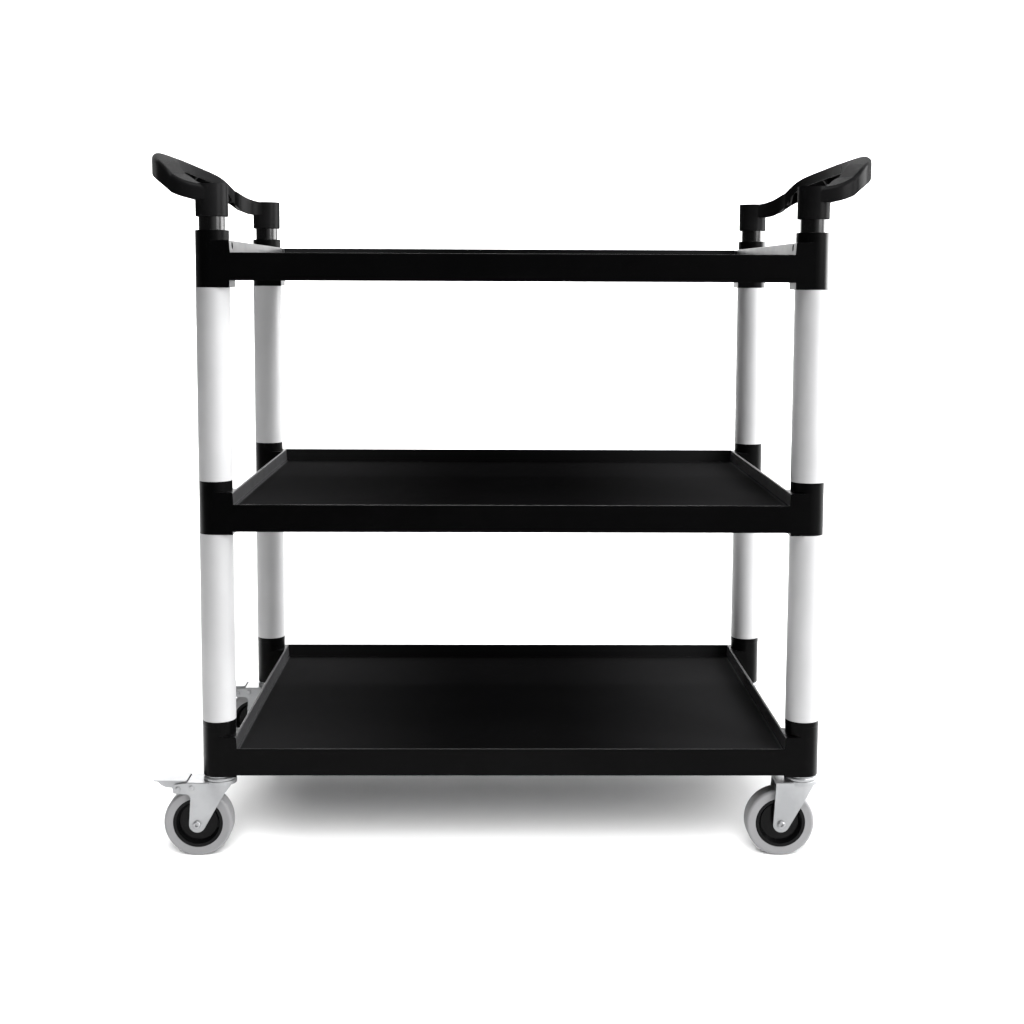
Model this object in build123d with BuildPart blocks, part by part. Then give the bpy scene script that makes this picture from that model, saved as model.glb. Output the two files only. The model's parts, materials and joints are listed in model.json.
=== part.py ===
"""Three-shelf food service trolley.

Three moulded trays stand on four round posts.  Every tray corner is a block with
a socket: a tube butts against it from above and from below and a plug inside
lines the tubes up.  A moulded push handle bridges the two posts of each end, and
a swivel castor is plugged into each corner of the bottom tray.

Units are millimetres.  +X runs along the trolley, +Y towards the raised back
wall of the trays, +Z up.  The origin is on the floor, below the middle.
"""
from build123d import *
import math
import os

os.makedirs("parts", exist_ok=True)

# ---------------------------------------------------------------- posts
post_pitch_x = 772.0        # distance between post axes along the trolley
post_pitch_y = 452.0        # distance between post axes across the trolley
tube_d = 44.0
tube_wall = 3.0
plug_clearance = 0.1        # radial gap between a plug and the bore around it
plug_reach = 35.0           # how far a plug enters a tube

# ---------------------------------------------------------------- trays
tray_pitch = 323.5          # from one tray to the next
socket_shy = 0.3            # corner sockets stand back from the tubes by this much
block_drop = {"bottom": 2.5, "middle": 4.0, "top": 9.0}     # block below the apron
collar_rise = {"bottom": 20.0, "middle": 14.0, "top": 13.0}  # collar above the rim
apron_h = 35.5              # depth of the front apron below the lip
rim_rise = 15.5             # side and back rims above the front lip
lip_rise = 4.0              # front lip above the tray floor
floor_t = 3.5
wall_t = 3.0
wall_set_in = 3.3           # side walls stand this far inside the sockets
wall_draft = 4.0            # degrees, inner faces of the walls
rib_t = 2.5
rib_recess = 9.0            # ribs stop this far above the lower edge of the apron
rib_bays_x = 6
rib_bays_y = 3
floor_fillet = 2.5
edge_round = 1.2
collar_ring_h = 7.0         # raised ring at the mouth of each bottom socket
collar_ring_t = 0.25

# ---------------------------------------------------------------- handles
boss_shy = 1.2              # handle bosses stand back from the tubes by this much
boss_h = 41.5
neck_step = 2.0             # the neck of a peg is thinner than its plug by this much
neck_h = 17.0               # bare neck between the top collar and the boss
peg_in_boss = 30.0
handle_reach = 113.0        # outermost point of the grip beyond the post axes
bow_run = 83.0              # outermost point of the grip beyond the end of the legs
bow_r = 565.0               # plan radius of the grip's outer edge
inner_bow_r = 452.0
grip_w = 28.0
grip_rise = 57.5            # top of the grip above the top of the bosses
handle_wall = 3.0
handle_rib_t = 2.4
screw_hole_d = 9.0
screw_head_d = 8.2
screw_head_h = 2.4
screw_d = 4.0
screw_drop = 6.5            # handle screws below the rim of the top tray
screw_length = 14.0

# ---------------------------------------------------------------- castors
wheel_d = 90.0
tyre_w = 26.0
tyre_depth = 12.0           # radial thickness of the rubber
trail = 28.0                # wheel axle behind the swivel axis
fork_gap = 32.0
fork_t = 2.5
crown_over = 11.5           # top of the fork above the wheel
crown_t = 3.0
race_d = 43.0
race_h = 8.5                # from the top of the fork to the tray blocks
race_gap = 0.4
stem_d = 11.0
stem_h = 45.0
flange_lap = 0.5            # the stem's flange reaches this far under the tray block
kingpin_d = 12.0
axle_d = 6.0
bolt_head_d = 10.4
nut_flats = 10.0
sleeve_d = 12.0
running_fit = 0.08          # radial gap of a part that turns on another
pivot_back = 24.6           # brake pivot behind the wheel axle
pivot_drop = 9.1            # brake pivot below the top of the fork
pad_gap = 0.7               # brake pad short of the tyre
pedal_w = 32.0
pedal_t = 1.6
pedal_length = 43.5
pedal_overhang = 11.1       # the pedal ends this far ahead of its pivot
rivet_d = 5.0
rivet_head_d = 7.0

# ---------------------------------------------------------------- worked out
half_x = post_pitch_x / 2
half_y = post_pitch_y / 2
tube_r = tube_d / 2
socket_r = tube_r - socket_shy
bore_r = tube_r - tube_wall
plug_r = bore_r - plug_clearance
boss_r = tube_r - boss_shy
neck_r = bore_r - neck_step
inner_x = half_x - socket_r - wall_set_in       # inner face of the side walls, at the rim
outer_y = half_y + socket_r             # front and back faces of the trays
wheel_r = wheel_d / 2
hub_r = wheel_r - tyre_depth
crown_z = wheel_d + crown_over          # top of the fork
castor_h = crown_z + race_h             # underside of the bottom tray blocks
lip_z = {"bottom": castor_h + block_drop["bottom"] + apron_h}   # top of the front lip
lip_z["middle"] = lip_z["bottom"] + tray_pitch
lip_z["top"] = lip_z["middle"] + tray_pitch
block_z = {k: lip_z[k] - apron_h - block_drop[k] for k in lip_z}
rim_z = {k: lip_z[k] + rim_rise for k in lip_z}
collar_z = {k: rim_z[k] + collar_rise[k] for k in lip_z}
boss_z = collar_z["top"] + neck_h
boss_top = boss_z + boss_h
corners = {
    "front_left": (-half_x, -half_y),
    "front_right": (half_x, -half_y),
    "back_left": (-half_x, half_y),
    "back_right": (half_x, half_y),
}
braked_corners = ("front_left", "back_left")


def save(shape, name):
    """Label a finished piece and write it under its node name."""
    shape.label = name
    export_step(shape, f"parts/{name}.step")


# ================================================================ trays
def build_tray(level):
    lip = lip_z[level]
    floor_z = lip - lip_rise
    apron_z = lip - apron_h
    rim = rim_z[level]
    body_x = inner_x + wall_t
    with BuildPart() as tray:
        with BuildSketch(Plane.XY.offset(apron_z)):
            Rectangle(2 * body_x, 2 * outer_y)
        extrude(amount=rim - apron_z)
        with BuildSketch(Plane.XY.offset(apron_z)):      # ends are open beside the posts
            with Locations((-half_x, 0), (half_x, 0)):
                Rectangle(2 * (half_x - body_x), 2 * outer_y)
        extrude(amount=rim - apron_z, mode=Mode.SUBTRACT)
        with BuildSketch(Plane.XY.offset(block_z[level])):
            for x, y in corners.values():
                with Locations((x, y)):
                    Circle(socket_r)
                with Locations((math.copysign((half_x + inner_x) / 2, x), y)):
                    Rectangle(half_x - inner_x, 2 * socket_r)
        extrude(amount=rim - block_z[level])
        # inside of the tray, cut through to the front
        with BuildSketch(Plane.XY.offset(rim)):
            with Locations((0, -wall_t)):
                Rectangle(2 * inner_x, 2 * outer_y)
        extrude(amount=floor_z - rim, taper=wall_draft, mode=Mode.SUBTRACT)
        floor_edges = tray.edges().filter_by(Axis.Z, reverse=True).filter_by(
            lambda e: abs(e.center().Z - floor_z) < 0.01
            and abs(e.center().X) < inner_x + 0.01
            and e.length > half_y
            and e.center().Y > -half_y
        )
        fillet(floor_edges, floor_fillet)
        with BuildSketch(Plane.XY.offset(floor_z)):
            with Locations((0, wall_t / 2 - outer_y)):
                Rectangle(2 * inner_x, wall_t)
        extrude(amount=lip_rise)
        lip_edges = tray.edges().filter_by(Axis.X).filter_by(
            lambda e: e.length > inner_x and abs(e.center().Z - lip) < 0.01
        )
        fillet(lip_edges, edge_round)
        rim_edges = tray.edges().filter_by(
            lambda e: e.length > half_y and abs(e.center().Z - rim) < 0.01
        )
        fillet(rim_edges, edge_round)
        # round collars that the tubes stand on
        with BuildSketch(Plane.XY.offset(block_z[level])):
            with Locations(*corners.values()):
                Circle(socket_r)
        extrude(amount=collar_z[level] - block_z[level])
        if level == "bottom":
            with BuildSketch(Plane.XY.offset(collar_z[level] - collar_ring_h)):
                with Locations(*corners.values()):
                    Circle(socket_r + collar_ring_t)
            extrude(amount=collar_ring_h)
        # ribbed underside
        rib_z = apron_z + rib_recess
        with BuildSketch(Plane.XY.offset(apron_z)):
            Rectangle(2 * inner_x, 2 * (outer_y - wall_t))
        extrude(amount=rib_recess, mode=Mode.SUBTRACT)
        pitch_x = (2 * inner_x + rib_t) / rib_bays_x
        pitch_y = (2 * (outer_y - wall_t) + rib_t) / rib_bays_y
        with BuildSketch(Plane.XY.offset(rib_z)):
            with GridLocations(pitch_x, pitch_y, rib_bays_x, rib_bays_y):
                Rectangle(pitch_x - rib_t, pitch_y - rib_t)
        extrude(amount=floor_z - floor_t - rib_z, mode=Mode.SUBTRACT)
        # bores that the plugs pass through
        with BuildSketch(Plane.XY.offset(block_z[level])):
            with Locations(*corners.values()):
                Circle(bore_r)
        extrude(amount=collar_z[level] - block_z[level], mode=Mode.SUBTRACT)
        if level == "top":
            for x, y in corners.values():
                with BuildSketch(Plane.YZ.offset(math.copysign(inner_x - wall_t, x))):
                    with Locations((y, rim - screw_drop)):
                        Circle(screw_hole_d / 2)
                extrude(amount=math.copysign(wall_t + socket_r / 2, x), mode=Mode.SUBTRACT)
    return tray.part


for level in lip_z:
    save(build_tray(level), f"shelf_{level}")


# ================================================================ posts
def build_tube(x, y, z_low, z_high):
    with BuildPart() as tube:
        with BuildSketch(Plane.XY.offset(z_low)):
            with Locations((x, y)):
                Circle(tube_r)
                Circle(bore_r, mode=Mode.SUBTRACT)
        extrude(amount=z_high - z_low)
    return tube.part


for corner, (x, y) in corners.items():
    save(build_tube(x, y, collar_z["bottom"], block_z["middle"]), f"lower_tube_{corner}")
    save(build_tube(x, y, collar_z["middle"], block_z["top"]), f"upper_tube_{corner}")

# one coupler per post joins its two tubes through the middle tray
with BuildPart() as couplers:
    with BuildSketch(Plane.XY.offset(block_z["middle"] - plug_reach)):
        with Locations(*corners.values()):
            Circle(plug_r)
            Circle(plug_r - tube_wall, mode=Mode.SUBTRACT)
    extrude(amount=collar_z["middle"] - block_z["middle"] + 2 * plug_reach)
save(couplers.part, "tube_couplers")

# the castor plugs fill the bottom sockets and carry the castor stems
plug_top = collar_z["bottom"] + plug_reach
with BuildPart() as castor_plugs:
    with BuildSketch(Plane.XY.offset(castor_h)):
        with Locations(*corners.values()):
            Circle(plug_r)
    extrude(amount=plug_top - castor_h)
    with BuildSketch(Plane.XY.offset(castor_h)):
        with Locations(*corners.values()):
            Circle(stem_d / 2 + plug_clearance)
    extrude(amount=stem_h + 2, mode=Mode.SUBTRACT)
save(castor_plugs.part, "castor_plugs")


# ================================================================ handles
peg_z = block_z["top"] - plug_reach
screw_z = rim_z["top"] - screw_drop
screw_seat = plug_r - 0.6        # screw head seat, measured from the post axis


def build_peg(x, y):
    """Plug in the top socket with a bare neck that carries the handle boss."""
    inward = -math.copysign(1, x)
    with BuildPart() as peg:
        with BuildSketch(Plane.XY.offset(peg_z)):
            with Locations((x, y)):
                Circle(plug_r)
        extrude(amount=collar_z["top"] - peg_z)
        fillet(peg.edges().sort_by(Axis.Z)[-1], 0.8)
        chamfer(peg.edges().sort_by(Axis.Z)[0], 1.5)
        with BuildSketch(Plane.XY.offset(collar_z["top"] - 1)):
            with Locations((x, y)):
                Circle(neck_r)
        extrude(amount=neck_h + peg_in_boss + 1)
        chamfer(peg.edges().sort_by(Axis.Z)[-1], 1.0)
        with BuildSketch(Plane.YZ.offset(x + inward * screw_seat)):
            with Locations((y, screw_z)):
                Circle(screw_hole_d / 2)
        extrude(amount=inward * tube_wall, mode=Mode.SUBTRACT)
        with BuildSketch(Plane.YZ.offset(x + inward * screw_seat)):
            with Locations((y, screw_z)):
                Circle(screw_d / 2 + 0.02)
        extrude(amount=-inward * screw_length, mode=Mode.SUBTRACT)
    return peg.part


for corner, (x, y) in corners.items():
    save(build_peg(x, y), f"handle_peg_{corner}")

# screws that lock the pegs, driven from inside the top tray
with BuildPart() as handle_screws:
    for x, y in corners.values():
        inward = -math.copysign(1, x)
        with BuildSketch(Plane.YZ.offset(x + inward * screw_seat)):
            with Locations((y, screw_z)):
                Circle(screw_head_d / 2)
        extrude(amount=inward * screw_head_h)
        with BuildSketch(Plane.YZ.offset(x + inward * screw_seat)):
            with Locations((y, screw_z)):
                Circle(screw_d / 2)
        extrude(amount=-inward * (screw_length - 1))
        head_face = handle_screws.faces().filter_by(Axis.X).sort_by(
            lambda f: (f.center() - Vector(x + inward * socket_r, y, screw_z)).length
        )[0]
        fillet(head_face.edges(), 0.9)
        with BuildSketch(Plane.YZ.offset(x + inward * (screw_seat + screw_head_h))):
            with Locations((y, screw_z)):
                RegularPolygon(2.1, 6)
        extrude(amount=-inward * 1.5, mode=Mode.SUBTRACT)
save(handle_screws.part, "handle_screws")


# The handle is a channel, open below, that leaves each boss outwards, turns the
# corner and rises to the grip.  It is lofted through upright cross-sections of
# its front half and mirrored.  Each section runs from an inner to an outer point.
leg_outer_y = half_y + boss_r
corner_r = 60.0                          # plan radius of the outer corner
inner_corner_r = 35.0
inner_leg_y = leg_outer_y - 64.0         # widest part of the leg ends here


def bow_point(reach, radius, y):
    """Point of a plan arc that is outermost at y = 0."""
    return (reach - radius + math.sqrt(radius**2 - y**2), y)


def corner_centre(reach, radius, edge_y, arc):
    """Centre of the corner arc between the leg's edge and the bow."""
    y = edge_y - arc
    return (reach - radius + math.sqrt((radius - arc) ** 2 - y**2), y)


def corner_point(centre, arc, degrees):
    turn = math.radians(degrees)
    return (centre[0] + arc * math.sin(turn), centre[1] + arc * math.cos(turn))


grip_inner = handle_reach - grip_w
outer_c = corner_centre(handle_reach, bow_r, leg_outer_y, corner_r)
inner_c = corner_centre(grip_inner, inner_bow_r, inner_leg_y, inner_corner_r)
boss_inner_y = half_y - boss_r


def bow_section(fraction):
    """Section of the grip whose outer point is this fraction of the way to the posts."""
    inner = bow_point(grip_inner, inner_bow_r, 0.84 * fraction * half_y)
    outer = bow_point(handle_reach, bow_r, fraction * half_y)
    return (inner, outer, 0.83 - 0.33 * fraction**2, 1 - 0.54 * fraction**2, 14.5, 27.0)


def corner_section(turn_in, turn_out, share_in, share_out, depth_in, depth_out):
    inner = corner_point(inner_c, inner_corner_r, turn_in)
    outer = corner_point(outer_c, corner_r, turn_out)
    return (inner, outer, share_in, share_out, depth_in, depth_out)


leg_x = handle_reach - bow_run           # ends of the legs, outer and inner edge
inner_leg_x = leg_x - 1.5
# inner point, outer point, inner and outer rise above the boss top as a share of
# the grip's rise, inner and outer depth of the skirt
leg_sections = [
    ((0.0, boss_inner_y + 0.5), (0.0, leg_outer_y - 0.5), -0.02, -0.02, 19.0, 19.0),
    ((0.3 * leg_x, boss_inner_y - 1.0), (0.3 * leg_x, leg_outer_y - 0.3), 0.005, -0.01, 20.5, 19.5),
    ((inner_leg_x * 2 / 3, boss_inner_y - 8.0), (0.6 * leg_x, leg_outer_y - 0.2), 0.05, 0.01, 23.5, 20.5),
    ((inner_leg_x, boss_inner_y - 20.0), (leg_x, leg_outer_y - 1.2), 0.13, 0.06, 25.5, 21.5),
    corner_section(32, 32, 0.27, 0.22, 22.0, 24.0),
]
grip_sections = [
    leg_sections[-1],
    corner_section(58, 60, 0.50, 0.52, 15.5, 26.5),
    bow_section(0.72),
    bow_section(0.42),
    bow_section(0.0),
]


def section_plane(inner, outer):
    """Upright plane through a section, with its local x pointing outwards."""
    along = Vector(outer[0] - inner[0], -(outer[1] - inner[1]), 0).normalized()
    origin = Vector(half_x + inner[0], -inner[1], boss_top)
    return Plane(origin=origin, x_dir=along, z_dir=along.cross(Vector(0, 0, 1)))


def body_outline(width, z_in, z_out, depth_in, depth_out):
    """Closed outline of the solid start of a leg."""
    FilletPolyline(
        (0, z_in - depth_in),
        (0, z_in),
        (width, z_out),
        (width, z_out - depth_out),
        radius=[0, 3.0, 7.0, 0],
        close=True,
    )


def channel_outline(width, z_in, z_out, depth_in, depth_out):
    """Closed outline of the channel, open at the bottom."""
    wall = handle_wall
    FilletPolyline(
        (0, z_in - depth_in),
        (0, z_in),
        (width, z_out),
        (width, z_out - depth_out),
        (width - wall, z_out - depth_out),
        (width - wall, z_out - wall),
        (wall, z_in - wall),
        (wall, z_in - depth_in),
        radius=[0, 3.0, 7.0, 0, 0, 4.0, 0, 0],
        close=True,
    )


def section_face(outline, section):
    inner, outer, share_in, share_out, depth_in, depth_out = section
    with BuildSketch(section_plane(inner, outer)) as face:
        with BuildLine():
            outline(math.dist(inner, outer), share_in * grip_rise, share_out * grip_rise, depth_in, depth_out)
        make_face()
    return face.sketch.face()


def loft_grip(outline):
    """The grip and both corners, from one leg to the other."""
    half = [section_face(outline, section) for section in grip_sections]
    other = [face.mirror(Plane.XZ) for face in reversed(half[:-1])]
    with BuildPart(mode=Mode.PRIVATE) as grip:
        loft(half + other)
    return grip.part


def between(one, other, share):
    """The section at a share of the way from one section to another."""
    mixed = []
    for a, b in zip(one, other):
        if isinstance(a, tuple):
            mixed.append(tuple(p + (q - p) * share for p, q in zip(a, b)))
        else:
            mixed.append(a + (b - a) * share)
    return mixed


def rib_end(section, side):
    """Foot and roof of a rib inside the inner (0) or outer (1) wall of the grip."""
    inner, outer = section[0], section[1]
    width = math.dist(inner, outer)
    along = (1 - 0.25 * handle_wall / width) if side else 0.5 * handle_wall / width
    x = inner[0] + (outer[0] - inner[0]) * along
    y = inner[1] + (outer[1] - inner[1]) * along
    roof = boss_top + section[2 + side] * grip_rise
    foot = roof - section[4 + side] + handle_wall
    return Vector(half_x + x, -y, foot), Vector(half_x + x, -y, roof)


def build_ribs():
    """Zigzag ribs between the two walls of the grip, under its roof."""
    with BuildPart() as ribs:
        for i in range(2 * len(grip_sections) - 2):
            ends = grip_sections[i // 2 : i // 2 + 2]
            here = between(*ends, 0.10 + 0.42 * (i % 2))
            there = between(*ends, 0.48 + 0.42 * (i % 2))
            outer_end, inner_end = (here, there) if i % 2 else (there, here)
            foot_a, roof_a = rib_end(outer_end, 1)
            foot_b, roof_b = rib_end(inner_end, 0)
            flat = Vector(foot_b.X - foot_a.X, foot_b.Y - foot_a.Y, 0)
            high_a = roof_a.Z - foot_a.Z
            high_b = roof_b.Z - foot_a.Z
            quarter = 0.75 * high_a + 0.25 * high_b
            with BuildSketch(Plane(origin=foot_a, x_dir=flat, z_dir=flat.cross(Vector(0, 0, 1)))):
                with BuildLine():
                    Polyline(
                        (0, 0),
                        (flat.length, foot_b.Z - foot_a.Z),
                        (flat.length, high_b - 0.5 * handle_wall),
                        (0.25 * flat.length, quarter - 0.6 * handle_wall),
                        (0, high_a - 1.2 * handle_wall),
                        close=True,
                    )
                make_face()
            extrude(amount=handle_rib_t / 2, both=True)
        mirror(about=Plane.XZ)
    return ribs.part


def build_handle():
    grip = loft_grip(channel_outline)
    ribs = build_ribs()
    leg = [section_face(body_outline, section) for section in leg_sections]
    with BuildPart() as handle:
        add(grip)
        add(ribs)
        loft(leg)
        loft([face.mirror(Plane.XZ) for face in leg])
        with BuildSketch(Plane.XY.offset(boss_z)):
            with Locations((half_x, -half_y), (half_x, half_y)):
                Circle(boss_r)
        extrude(amount=boss_h)
        boss_rims = handle.edges().filter_by(GeomType.CIRCLE).group_by(Axis.Z)[0]
        fillet(boss_rims, 0.8)
        with BuildSketch(Plane.XY.offset(boss_z)):
            with Locations((half_x, -half_y), (half_x, half_y)):
                Circle(neck_r + plug_clearance)
        extrude(amount=peg_in_boss + 0.5, mode=Mode.SUBTRACT)
    return handle.part


handle_right = build_handle()
save(handle_right, "handle_right")
save(handle_right.mirror(Plane.YZ), "handle_left")


# ================================================================ castors
# Each castor piece is drawn about the swivel axis, then placed at its corner.
# The wheel trails towards -X.
axle_x = -trail
axle_z = wheel_r
side_y = fork_gap / 2 + fork_t           # outer face of the fork legs
race_r = race_d / 2
crown_low = crown_z - crown_t            # underside of the fork crown
disc_top = crown_z + 1.4                 # raised round seat of the ball race
pivot_up = crown_z - axle_z - pivot_drop
pivot_x = axle_x - pivot_back
pivot_z = axle_z + pivot_up
pedal_root = pivot_back - pedal_overhang    # ends of the pedal behind the axle
pedal_tip = pedal_root + pedal_length
rivet_spots = [(pivot_x, pivot_z), (axle_x - 6.5, crown_z - 7.0)]
reach_y = 2 * side_y                     # cuts across the castor run this far each way

with BuildPart() as stem:
    with BuildSketch(Plane.XY.offset(castor_h)):
        Circle(stem_d / 2)
    extrude(amount=stem_h)
    chamfer(stem.edges().sort_by(Axis.Z)[-1], 1.0)
    with BuildSketch(Plane.XY.offset(castor_h - 2.5)):
        Circle(bore_r + flange_lap)
    extrude(amount=2.5)
    with BuildSketch(Plane.XY.offset(crown_low - 0.3)):
        Circle(kingpin_d / 2)
    extrude(amount=castor_h - 2.5 - crown_low + 0.3)
    with BuildSketch(Plane.XY.offset(crown_low - 3.3)):
        Circle(kingpin_d / 2 + 3)
    extrude(amount=3.0)
    fillet(stem.edges().sort_by(Axis.Z)[0], 1.2)

# pressed cup that covers the ball race
cup_low = disc_top + race_gap
cup_high = castor_h - 2.5
with BuildPart() as race_cup:
    with BuildSketch(Plane.XZ):
        with BuildLine():
            FilletPolyline(
                (kingpin_d / 2 + plug_clearance, cup_low + 1),
                (kingpin_d / 2 + plug_clearance, cup_high),
                (race_r - 1.0, cup_high),
                (race_r, cup_high - 1.5),
                (race_r, cup_low),
                (race_r - 4, cup_low),
                (race_r - 5, cup_low + 1),
                radius=[0, 0, 0.6, 0.6, 0.6, 0, 0],
                close=True,
            )
        make_face()
    revolve(axis=Axis.Z)


def leg_outline(braked):
    """Side view of the fork: round foot, sloping front edge, ear for the brake."""
    top = crown_z - axle_z + 3
    foot_r = 11.0
    shoulder = (trail + 8.0, crown_z - axle_z - 15.5)    # front edge, measured from the axle
    nose = (trail + side_y + 2, crown_z - axle_z)
    bearing = math.atan2(shoulder[1], shoulder[0])
    tangent = bearing - math.acos(foot_r / math.hypot(*shoulder))
    front = (foot_r * math.cos(tangent), foot_r * math.sin(tangent))
    back = (0.5 - foot_r, -1.0)
    ear = 6.5
    path = [front, shoulder, nose, (nose[0], top)]
    rounds = [12.0, 0, 0]
    if braked:
        path = path + [
            (-pedal_root + 1.0, top),
            (-pedal_root + 1.0, crown_z - axle_z),
            (-pivot_back - ear, pivot_up + ear - 0.7),
            (-pivot_back - ear, pivot_up - ear),
            (-8.0, pivot_up - ear),
        ]
        rounds = rounds + [0, 0, 5.5, 6.0, 6.0]
    else:
        path = path + [(-7.0, top)]
        rounds = rounds + [0]
    path.append(back)
    placed = [(axle_x + x, axle_z + z) for x, z in path]
    FilletPolyline(*placed, radius=rounds)
    ThreePointArc(placed[-1], (axle_x - 0.1 * foot_r, axle_z - 0.995 * foot_r), placed[0])


def build_fork(braked):
    """Pressed fork: a horseshoe shell cut to its side view, under a round crown."""
    low = axle_z - 12
    rear = axle_x - (pivot_back + 10 if braked else 12)
    with BuildPart() as fork:
        with BuildSketch(Plane.XY.offset(low)):
            Circle(side_y)
            with Locations((rear / 2, 0)):
                Rectangle(-rear, 2 * side_y)
        extrude(amount=crown_z - low)
        top_edges = fork.edges().group_by(Axis.Z)[-1].filter_by(lambda e: e.center().X > rear + 1)
        fillet(top_edges, 1.5)
        with BuildSketch(Plane.XY.offset(low)):
            Circle(side_y - fork_t)
            with Locations((rear / 2 - 1, 0)):
                Rectangle(-rear + 2, fork_gap)
        extrude(amount=crown_low - low, mode=Mode.SUBTRACT)
        if braked:                       # the crown stops where the pedal begins
            with BuildSketch(Plane.XY.offset(crown_low - 1)):
                with Locations((axle_x - pedal_root + 1, 0)):
                    Rectangle(pivot_back + 20, fork_gap, align=(Align.MAX, Align.CENTER))
            extrude(amount=crown_t + 2, mode=Mode.SUBTRACT)
        with BuildSketch(Plane.XZ):
            with BuildLine():
                leg_outline(braked)
            make_face()
        extrude(amount=reach_y, both=True, mode=Mode.INTERSECT)
        with BuildSketch(Plane.XY.offset(crown_z - 4)):
            Circle(race_r + 0.3)
        extrude(amount=disc_top - crown_z + 4)
        fillet(fork.edges().group_by(Axis.Z)[-1], 1.0)
        with BuildSketch(Plane.XY.offset(crown_z - 4)):
            Circle(race_r - 3.5)
        extrude(amount=4 - crown_t, mode=Mode.SUBTRACT)
        with BuildSketch(Plane.XY.offset(low)):
            Circle(kingpin_d / 2 + running_fit)
        extrude(amount=castor_h - low, mode=Mode.SUBTRACT)
        with BuildSketch(Plane.XZ):
            with Locations((axle_x, axle_z)):
                Circle(axle_d / 2 + plug_clearance)
            if braked:
                with Locations(*rivet_spots):
                    Circle(rivet_d / 2)
        extrude(amount=reach_y, both=True, mode=Mode.SUBTRACT)
    return fork.part


# axle: bolt, nut and the sleeve that the wheel turns on
front_face = Plane.XZ.offset(side_y)     # looks towards -Y
back_face = Plane.XZ.offset(-side_y)
with BuildPart() as axle_bolt:
    with BuildSketch(Plane.XZ.offset(-side_y - 7)):
        with Locations((axle_x, axle_z)):
            Circle(axle_d / 2)
    extrude(amount=2 * side_y + 7)
    with BuildSketch(front_face):
        with Locations((axle_x, axle_z)):
            Circle(bolt_head_d / 2)
    extrude(amount=4.0)
    fillet(axle_bolt.edges().filter_by(GeomType.CIRCLE).sort_by(Axis.Y)[0], 2.5)
    with BuildSketch(front_face.offset(4.0)):
        with Locations((axle_x, axle_z)):
            RegularPolygon(2.3, 6)
    extrude(amount=-2.0, mode=Mode.SUBTRACT)
    chamfer(axle_bolt.edges().filter_by(GeomType.CIRCLE).sort_by(Axis.Y)[-1], 0.8)

with BuildPart() as axle_nut:
    with BuildSketch(back_face):
        with Locations((axle_x, axle_z)):
            RegularPolygon(nut_flats / 2, 6, major_radius=False)
            Circle(axle_d / 2, mode=Mode.SUBTRACT)
    extrude(amount=-5.0)

with BuildPart() as axle_sleeve:
    with BuildSketch(Plane.XZ):
        with Locations((axle_x, axle_z)):
            Circle(sleeve_d / 2)
            Circle(axle_d / 2, mode=Mode.SUBTRACT)
    extrude(amount=fork_gap / 2, both=True)

# wheel: a dished hub with a rim ring, and the rubber tyre around it
half_w = tyre_w / 2
boss_w = fork_gap / 2 - 0.3
hub_bore = sleeve_d / 2 + running_fit
hub_profile = [
    (hub_bore, boss_w),
    (10.0, boss_w),
    (10.6, 5.5),
    (hub_r - 8.0, 5.0),
    (hub_r - 4.2, half_w - 0.6),
    (hub_r, half_w - 0.6),
]
wheel_axis = Axis((axle_x, 0, axle_z), (0, 1, 0))
wheel_plane = Plane(origin=(axle_x, 0, axle_z), x_dir=(0, 0, 1), z_dir=(1, 0, 0))
with BuildPart() as wheel_hub:
    with BuildSketch(wheel_plane):
        with BuildLine():
            far_side = [(r, -w) for r, w in reversed(hub_profile)]
            FilletPolyline(
                *hub_profile,
                *far_side,
                radius=[0, 0, 0, 1.5, 0, 0, 0, 0, 1.5, 0, 0, 0],
                close=True,
            )
        make_face()
    revolve(axis=wheel_axis)

with BuildPart() as tyre:
    with BuildSketch(wheel_plane):
        with BuildLine():
            FilletPolyline(
                (hub_r, -half_w),
                (wheel_r, -half_w),
                (wheel_r, half_w),
                (hub_r, half_w),
                radius=[0, 4.0, 4.0, 0],
                close=True,
            )
        make_face()
    revolve(axis=wheel_axis)

# brake: a tread plate with two flanges that turns on a rivet through the ears
flange_out = fork_gap / 2 - 1.0
pedal_low = crown_z + 0.6
with BuildPart() as pedal:
    with BuildSketch(Plane.XY.offset(pedal_low)):
        with Locations((axle_x - (pedal_tip + pedal_root) / 2, 0)):
            Rectangle(pedal_tip - pedal_root, pedal_w)
    extrude(amount=pedal_t)
    tip_edges = pedal.edges().filter_by(Axis.Z).group_by(Axis.X)[0]
    fillet(tip_edges, 3.5)
    with BuildSketch(Plane.XZ):
        with BuildLine():
            FilletPolyline(
                (pivot_x - 28, pedal_low + 0.3),
                (pivot_x - 22.8, pivot_z + 5),
                (pivot_x - 16, pivot_z + 1.7),
                (pivot_x - 8, pivot_z + 1.2),
                (pivot_x - 6.8, pivot_z - 6.8),
                (pivot_x + 6, pivot_z - 6.8),
                (axle_x - pedal_root - 0.5, pivot_z),
                (axle_x - pedal_root - 0.5, pedal_low + 0.3),
                radius=[0, 8, 8, 1.5, 1.0, 5.0, 2.0, 0],
                close=True,
            )
        make_face()
    extrude(amount=flange_out, both=True)
    with BuildSketch(Plane.XY.offset(pivot_z - 12)):
        with Locations((pivot_x, 0)):
            Rectangle(80, 2 * (flange_out - pedal_t))
    extrude(amount=pedal_low - pivot_z + 12, mode=Mode.SUBTRACT)
    with BuildSketch(Plane.XZ):
        with Locations((pivot_x, pivot_z)):
            Circle(rivet_d / 2 + running_fit)
    extrude(amount=flange_out + 1, both=True, mode=Mode.SUBTRACT)

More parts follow.
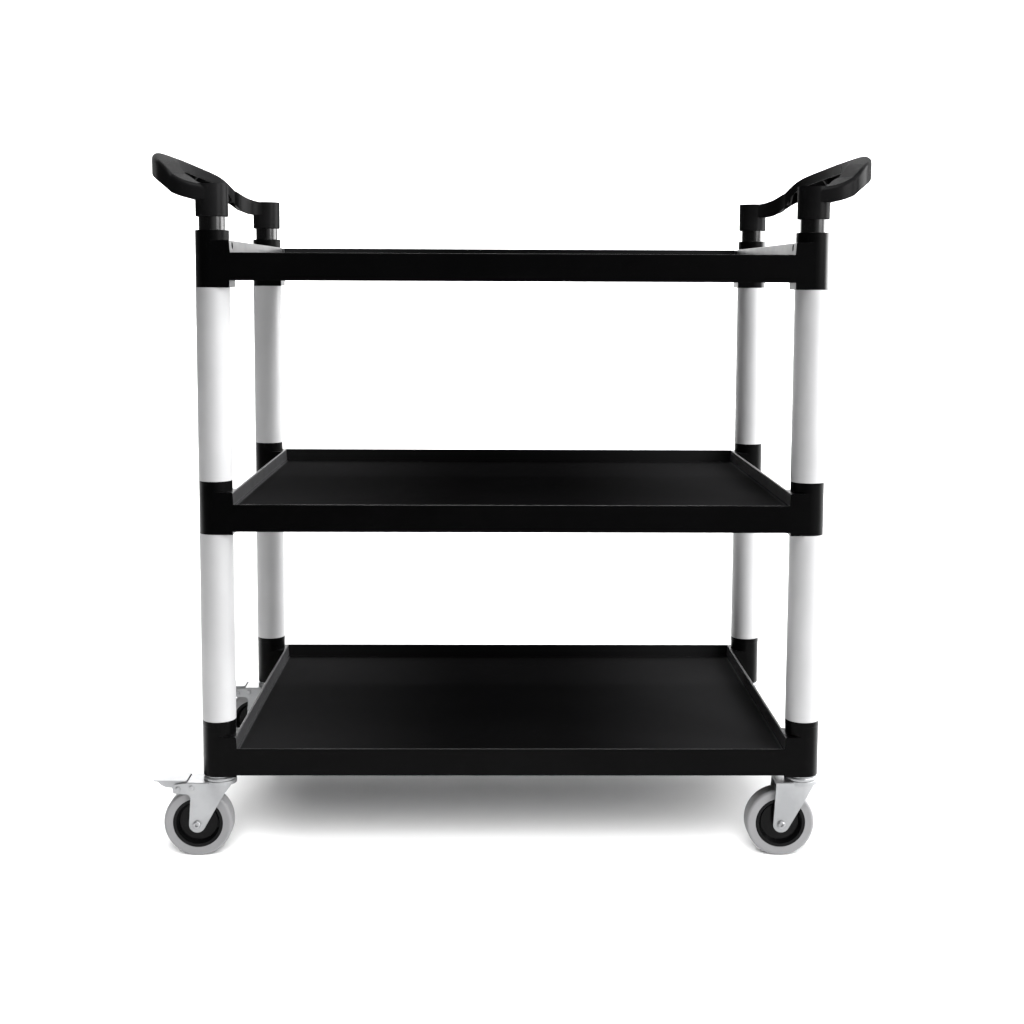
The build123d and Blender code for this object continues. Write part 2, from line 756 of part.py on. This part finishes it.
toe = math.hypot(pivot_back, pivot_up) - wheel_r - pad_gap
with BuildPart() as brake_pad:
    with BuildSketch(Plane.XZ):
        with Locations((pivot_x, pivot_z)):
            Circle(5.8)
            with PolarLocations(toe / 2, 1, start_angle=250):
                Rectangle(toe, 4.0)
            Circle(rivet_d / 2 + running_fit, mode=Mode.SUBTRACT)
    extrude(amount=flange_out - pedal_t, both=True)

with BuildPart() as brake_rivets:
    with BuildSketch(Plane.XZ):
        with Locations(*rivet_spots):
            Circle(rivet_d / 2)
    extrude(amount=side_y, both=True)
    for face, outward in ((front_face, 1), (back_face, -1)):
        with BuildSketch(face):
            with Locations(*rivet_spots):
                Circle(rivet_head_d / 2)
        extrude(amount=1.6 * outward)
    rivet_rims = brake_rivets.edges().filter_by(GeomType.CIRCLE)
    fillet(rivet_rims.group_by(Axis.Y)[0] + rivet_rims.group_by(Axis.Y)[-1], 1.0)

fork_plain = build_fork(False)
fork_braked = build_fork(True)
for corner, (x, y) in corners.items():
    braked = corner in braked_corners
    pieces = {
        "caster_stem": stem.part,
        "race_cup": race_cup.part,
        "fork": fork_braked if braked else fork_plain,
        "axle_bolt": axle_bolt.part,
        "axle_nut": axle_nut.part,
        "axle_sleeve": axle_sleeve.part,
        "wheel_hub": wheel_hub.part,
        "tyre": tyre.part,
    }
    if braked:
        pieces["brake_pedal"] = pedal.part
        pieces["brake_pad"] = brake_pad.part
        pieces["brake_rivets"] = brake_rivets.part
    for kind, shape in pieces.items():
        save(Pos(x, y, 0) * shape, f"{kind}_{corner}")
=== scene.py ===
"""Looks of the food service trolley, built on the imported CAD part."""

import json
import math

import bpy
from mathutils import Matrix, Vector


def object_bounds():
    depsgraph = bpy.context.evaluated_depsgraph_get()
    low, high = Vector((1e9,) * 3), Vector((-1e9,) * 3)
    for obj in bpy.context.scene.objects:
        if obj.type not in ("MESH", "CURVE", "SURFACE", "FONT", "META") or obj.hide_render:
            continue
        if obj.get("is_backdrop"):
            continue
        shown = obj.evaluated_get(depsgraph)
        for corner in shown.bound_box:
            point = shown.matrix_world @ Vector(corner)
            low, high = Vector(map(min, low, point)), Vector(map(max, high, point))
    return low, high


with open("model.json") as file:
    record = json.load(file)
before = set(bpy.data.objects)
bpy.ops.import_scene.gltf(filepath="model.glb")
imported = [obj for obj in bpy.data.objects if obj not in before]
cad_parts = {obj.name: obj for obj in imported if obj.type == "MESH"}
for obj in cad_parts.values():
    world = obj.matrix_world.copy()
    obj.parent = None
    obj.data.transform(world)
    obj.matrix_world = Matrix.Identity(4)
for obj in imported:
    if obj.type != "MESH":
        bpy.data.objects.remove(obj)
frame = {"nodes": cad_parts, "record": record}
bounds_at_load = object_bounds()
nodes = frame["nodes"]
scene = bpy.context.scene

# where the insides of the trays lie, in metres
tray_floors = [mount["pos_m"][2] for mount in frame["record"]["mounts"]]
floor_half_x = 0.362        # flat floor, just past its fillet
inside_half_x = 0.364       # inner faces of the end walls
floor_half_y = 0.245
inside_half_y = 0.2465
inside_low = -0.0006        # heights above the floor
inside_high = 0.0195        # top of the rims
floor_low = -0.003
floor_high = 0.0032         # just under the front lip
tray_end_x = 0.405          # outer ends of the trays and sockets
end_blend = 0.009

# how the trays' looks change from place to place: more gloss at the outer ends, and painted reflections
# inside them
end_gloss = 0.16
# painted reflection: pale tones laid into the tray floors and end walls in place of the light they reflect
painted_floor_reflection_tone = 0.013
painted_wall_reflection_tone = 0.032
reflection_share_in_middle = 0.12         # share of the pale tone left in the middle of a tray
reflection_fade_start_x = 0.05


def plain(value):
    """Vectors and tuples as plain lists."""
    return [plain(v) for v in value] if hasattr(value, "__len__") else float(value)


# ---------------------------------------------------------------- shader helpers
def new_material(name):
    mat = bpy.data.materials.new(name)
    mat.use_nodes = True
    return mat, mat.node_tree, mat.node_tree.nodes["Principled BSDF"]


def noise(tree, scale, detail=3.0, stretch=(1, 1, 1)):
    """Object-space noise, optionally stretched along an axis."""
    coords = tree.nodes.new("ShaderNodeTexCoord")
    mapping = tree.nodes.new("ShaderNodeMapping")
    mapping.inputs["Scale"].default_value = stretch
    texture = tree.nodes.new("ShaderNodeTexNoise")
    texture.inputs["Scale"].default_value = scale
    texture.inputs["Detail"].default_value = detail
    tree.links.new(coords.outputs["Object"], mapping.inputs["Vector"])
    tree.links.new(mapping.outputs["Vector"], texture.inputs["Vector"])
    return texture.outputs["Fac"]


def map_range(tree, source, start, end, low, high, blend="LINEAR"):
    """Maps start..end of a source onto low..high, which may be numbers or sockets."""
    node = tree.nodes.new("ShaderNodeMapRange")
    node.interpolation_type = blend
    node.inputs["From Min"].default_value = start
    node.inputs["From Max"].default_value = end
    for name, value in (("To Min", low), ("To Max", high)):
        if isinstance(value, (int, float)):
            node.inputs[name].default_value = value
        else:
            tree.links.new(value, node.inputs[name])
    tree.links.new(source, node.inputs["Value"])
    return node.outputs["Result"]


def math_node(tree, operation, first, second=None, third=None):
    """A math node whose inputs are numbers or sockets."""
    node = tree.nodes.new("ShaderNodeMath")
    node.operation = operation
    for index, value in enumerate((first, second, third)):
        if isinstance(value, (int, float)):
            node.inputs[index].default_value = value
        elif value is not None:
            tree.links.new(value, node.inputs[index])
    return node.outputs["Value"]


def axes(tree, coords, kind):
    """The X, Y and Z sockets of the object-space position or normal."""
    split = tree.nodes.new("ShaderNodeSeparateXYZ")
    tree.links.new(coords.outputs[kind], split.inputs["Vector"])
    return split.outputs


def two_tone(tree, source, dark, light):
    ramp = tree.nodes.new("ShaderNodeValToRGB")
    ramp.color_ramp.elements[0].position = 0.35
    ramp.color_ramp.elements[0].color = (*dark, 1)
    ramp.color_ramp.elements[1].position = 0.65
    ramp.color_ramp.elements[1].color = (*light, 1)
    tree.links.new(source, ramp.inputs["Fac"])
    return ramp.outputs["Color"]


def blend_colour(tree, mask, under, tone):
    """Lays a grey tone over a colour where the mask is 1."""
    mix = tree.nodes.new("ShaderNodeMix")
    mix.data_type = "RGBA"
    colour_in = {socket.name: socket for socket in mix.inputs if socket.type == "RGBA"}
    colour_in["B"].default_value = (tone, tone, tone * 1.03, 1)
    tree.links.new(under, colour_in["A"])
    tree.links.new(mask, mix.inputs["Factor"])
    return next(socket for socket in mix.outputs if socket.type == "RGBA")


def add_bump(tree, shader, source, strength, distance, round_off):
    """Surface grain, over edges whose shading is rounded off."""
    bump = tree.nodes.new("ShaderNodeBump")
    if round_off:
        bevel = tree.nodes.new("ShaderNodeBevel")
        bevel.samples = 6
        bevel.inputs["Radius"].default_value = round_off
        tree.links.new(bevel.outputs["Normal"], bump.inputs["Normal"])
    bump.inputs["Strength"].default_value = strength
    bump.inputs["Distance"].default_value = distance
    tree.links.new(source, bump.inputs["Height"])
    tree.links.new(bump.outputs["Normal"], shader.inputs["Normal"])


def surface(name, dark, light, rough, metal=0.0, specular=0.5, grain=(900, 0.1, 0.0001), patch=9.0,
            stretch=(1, 1, 1), round_off=0.0, film=0.0):
    """A material with a slow colour drift, uneven gloss and a fine surface grain.

    grain is the scale, strength and depth of the bump, round_off a radius in metres and film a clear coat.
    """
    mat, tree, shader = new_material(name)
    drift = noise(tree, patch)
    fine = noise(tree, grain[0], 2.0, stretch)
    tree.links.new(two_tone(tree, drift, dark, light), shader.inputs["Base Color"])
    uneven = noise(tree, patch * 6, 4.0, stretch)
    tree.links.new(map_range(tree, uneven, 0.3, 0.7, *rough), shader.inputs["Roughness"])
    shader.inputs["Metallic"].default_value = metal
    shader.inputs["Specular IOR Level"].default_value = specular
    shader.inputs["Coat Weight"].default_value = film
    shader.inputs["Coat Roughness"].default_value = 0.24
    add_bump(tree, shader, fine, grain[1], grain[2], round_off)
    return mat


# ---------------------------------------------------------------- materials
looks = {
    "tray_plastic": surface(
        "tray_moulding", (0.0009, 0.0009, 0.001), (0.0013, 0.0013, 0.0014), (0.28, 0.33),
        specular=0.035, grain=(1400, 0.12, 0.00008), round_off=0.0008,
    ),
    "handle_plastic": surface(
        "handle_moulding", (0.0045, 0.0045, 0.0047), (0.0075, 0.0075, 0.0078), (0.34, 0.42),
        specular=0.0, grain=(1100, 0.2, 0.0001), round_off=0.004, film=0.06,
    ),
    "peg_gloss": surface(
        "peg_moulding", (0.001, 0.001, 0.0011), (0.002, 0.002, 0.0021), (0.14, 0.2),
        specular=0.35, grain=(1400, 0.1, 0.00005), round_off=0.0008,
    ),
    "plug_plastic": surface("plug_moulding", (0.01, 0.01, 0.011), (0.018, 0.018, 0.019), (0.45, 0.6)),
    "tube_aluminium": surface(
        "satin_tube", (0.385, 0.385, 0.39), (0.425, 0.425, 0.43), (0.42, 0.52),
        metal=0.1, specular=0.4, grain=(500, 0.06, 0.00005), stretch=(1, 1, 0.03),
    ),
    "screw_steel": surface("plated_screw", (0.45, 0.45, 0.46), (0.6, 0.6, 0.61), (0.25, 0.35), metal=1.0),
    "castor_zinc": surface(
        "zinc_plate", (0.25, 0.254, 0.26), (0.31, 0.314, 0.32), (0.30, 0.38),
        metal=0.65, grain=(320, 0.06, 0.00006), patch=26,
    ),
    "sleeve_steel": surface("plain_steel", (0.5, 0.5, 0.51), (0.62, 0.62, 0.63), (0.3, 0.42), metal=1.0),
    "hub_plastic": surface(
        "gloss_hub", (0.002, 0.002, 0.0022), (0.004, 0.004, 0.0042), (0.12, 0.2), specular=0.08
    ),
    "tyre_rubber": surface(
        "grey_tyre", (0.19, 0.19, 0.195), (0.225, 0.225, 0.23), (0.5, 0.65), grain=(700, 0.2, 0.00012)
    ),
    "pad_rubber": surface("pad_rubber_look", (0.02, 0.02, 0.021), (0.035, 0.035, 0.036), (0.6, 0.75)),
}


def in_trays(tree, place, low, high, half_x, half_y):
    """A mask that is 1 between two heights above any tray floor, within a rectangle."""
    mask = None
    for height in tray_floors:
        band = math_node(tree, "COMPARE", place["Z"], height + (low + high) / 2, (high - low) / 2)
        mask = band if mask is None else math_node(tree, "MAXIMUM", mask, band)
    for axis, half in (("X", half_x), ("Y", half_y)):
        mask = math_node(tree, "MULTIPLY", mask, math_node(tree, "COMPARE", place[axis], 0.0, half))
    return mask


def tray_gloss(mat):
    """Takes the gloss off the flat tray floors and adds some on the outer ends of the trays."""
    tree = mat.node_tree
    level = tree.nodes["Principled BSDF"].inputs["Specular IOR Level"]
    place = axes(tree, tree.nodes.new("ShaderNodeTexCoord"), "Object")
    on_floor = in_trays(tree, place, floor_low, floor_high, floor_half_x, floor_half_y)
    from_middle = math_node(tree, "ABSOLUTE", place["X"])
    blend_start = tray_end_x - end_blend
    plain_gloss = level.default_value
    gloss = map_range(tree, from_middle, blend_start, tray_end_x, plain_gloss, end_gloss, "SMOOTHSTEP")
    tree.links.new(map_range(tree, on_floor, 0.0, 1.0, gloss, 0.0), level)


def paint_tray_reflections(mat):
    """Paints reflected light into each tray: the floor paler towards its ends, and the end walls palest.
    """
    tree = mat.node_tree
    colour_in = tree.nodes["Principled BSDF"].inputs["Base Color"]
    coords = tree.nodes.new("ShaderNodeTexCoord")
    place = axes(tree, coords, "Object")
    facing = axes(tree, coords, "Normal")
    inside = in_trays(tree, place, inside_low, inside_high, inside_half_x, inside_half_y)
    # painted reflection on the end walls, and on the floor growing towards the tray ends
    end_wall_reflection = math_node(tree, "MULTIPLY", inside, math_node(tree, "ABSOLUTE", facing["X"]))
    from_middle = math_node(tree, "ABSOLUTE", place["X"])
    reflection_fade = map_range(tree, from_middle, reflection_fade_start_x, inside_half_x, reflection_share_in_middle, 1.0, "SMOOTHSTEP")
    floor_reflection = math_node(tree, "MULTIPLY", inside, reflection_fade)
    colour = blend_colour(tree, floor_reflection, colour_in.links[0].from_socket, painted_floor_reflection_tone)
    tree.links.new(blend_colour(tree, end_wall_reflection, colour, painted_wall_reflection_tone), colour_in)


tray_gloss(looks["tray_plastic"])
# paints reflected light into the insides of the trays
paint_tray_reflections(looks["tray_plastic"])
for part in frame["record"]["subparts"]:
    node = nodes[part["node"]]
    slot = "peg_gloss" if part["node"].startswith("handle_peg_") else part["material_slot"]
    node.data.materials.clear()
    node.data.materials.append(looks[slot])

# ---------------------------------------------------------------- stage
floor_mat, floor_tree, floor_shader = new_material("studio_white")
floor_colour = two_tone(floor_tree, noise(floor_tree, 2.0), (0.86, 0.86, 0.86), (0.88, 0.88, 0.88))
floor_tree.links.new(floor_colour, floor_shader.inputs["Base Color"])
floor_shader.inputs["Roughness"].default_value = 0.9
floor_shader.inputs["Specular IOR Level"].default_value = 0.1

sweep_left, sweep_right = -5.2, 4.6
# the floor from front to back, then the wall that it curves up into: y, z
sweep_profile = [(-1.1, 0.0), (3.0, 0.0), (4.2, 0.12), (5.2, 0.5), (5.9, 1.2), (6.2, 2.2), (6.3, 7.0)]
verts, faces = [], []
for y, z in sweep_profile:
    verts += [(sweep_left, y, z), (sweep_right, y, z)]
for i in range(len(sweep_profile) - 1):
    faces.append((2 * i, 2 * i + 1, 2 * i + 3, 2 * i + 2))
sweep_mesh = bpy.data.meshes.new("studio_sweep")
sweep_mesh.from_pydata(verts, [], faces)
for polygon in sweep_mesh.polygons:
    polygon.use_smooth = True
sweep = bpy.data.objects.new("studio_sweep", sweep_mesh)
sweep.data.materials.append(floor_mat)
scene.collection.objects.link(sweep)
sweep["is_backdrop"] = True


# ---------------------------------------------------------------- light
def soft_box(name, place, target, size, power):
    light = bpy.data.lights.new(name, "AREA")
    light.shape = "RECTANGLE"
    light.size, light.size_y = size
    light.energy = power
    holder = bpy.data.objects.new(name, light)
    holder.location = place
    holder.rotation_euler = (Vector(target) - Vector(place)).to_track_quat("-Z", "Y").to_euler()
    scene.collection.objects.link(holder)
    return holder


soft_box("overhead", (0.0, -1.2, 4.6), (0, -0.3, 0.0), (1.8, 3.0), 150)
side = soft_box("side_right", (3.0, 0.9, 1.5), (0, 0.0, 1.1), (2.6, 1.8), 220)
key = soft_box("front_right", (2.4, -1.6, 1.7), (0, 0.0, 0.5), (1.6, 1.6), 95)
fill = soft_box("floor_fill", (0.0, -2.1, 1.65), (0, -0.1, 0), (1.4, 1.5), 105)
soft_box("wall_wash", (0.0, 2.6, 4.4), (0, 6.0, 1.4), (6.0, 1.5), 800)
# the lights from the right leave the floor alone, and the fill lights nothing else
for light, state in ((side, "EXCLUDE"), (key, "EXCLUDE"), (fill, "INCLUDE")):
    receivers = bpy.data.collections.new(light.name + "_receivers")
    receivers.objects.link(sweep)
    receivers.collection_objects[0].light_linking.link_state = state
    light.light_linking.receiver_collection = receivers

# a bright studio wall to the right that fades to a dark one on the left
world = bpy.data.worlds.new("studio_world")
world.use_nodes = True
sky = world.node_tree
background = sky.nodes["Background"]
background.inputs["Color"].default_value = (1, 1, 1, 1)
across = axes(sky, sky.nodes.new("ShaderNodeTexCoord"), "Generated")["X"]
brightness = map_range(sky, across, -0.15, 0.9, 0.12, 1.7, "SMOOTHSTEP")
sky.links.new(brightness, background.inputs["Strength"])
scene.world = world

# ---------------------------------------------------------------- camera
camera_place = Vector((-0.0224, -2.1256, 0.7622))
pitch, yaw, roll = math.radians(5.446), math.radians(0.686), math.radians(-0.242)
ahead = Vector((math.sin(yaw) * math.cos(pitch), math.cos(yaw) * math.cos(pitch), -math.sin(pitch)))
level = Vector((math.cos(yaw), -math.sin(yaw), 0))
down = ahead.cross(level)
right = math.cos(roll) * level + math.sin(roll) * down
up = math.sin(roll) * level - math.cos(roll) * down
camera_data = bpy.data.cameras.new("photo_view")
camera_data.sensor_width = 36.0
camera_data.lens = 51.61
camera_data.shift_x = -0.0008
camera_data.shift_y = -0.0904
camera_data.clip_end = 60
camera = bpy.data.objects.new("photo_view", camera_data)
turn = Matrix((right, up, -ahead)).transposed()
camera.matrix_world = Matrix.Translation(camera_place) @ turn.to_4x4()
scene.collection.objects.link(camera)
scene.camera = camera
scene.view_settings.view_transform = "Standard"

{"at_load": plain(bounds_at_load), "at_finish": plain(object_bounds())}
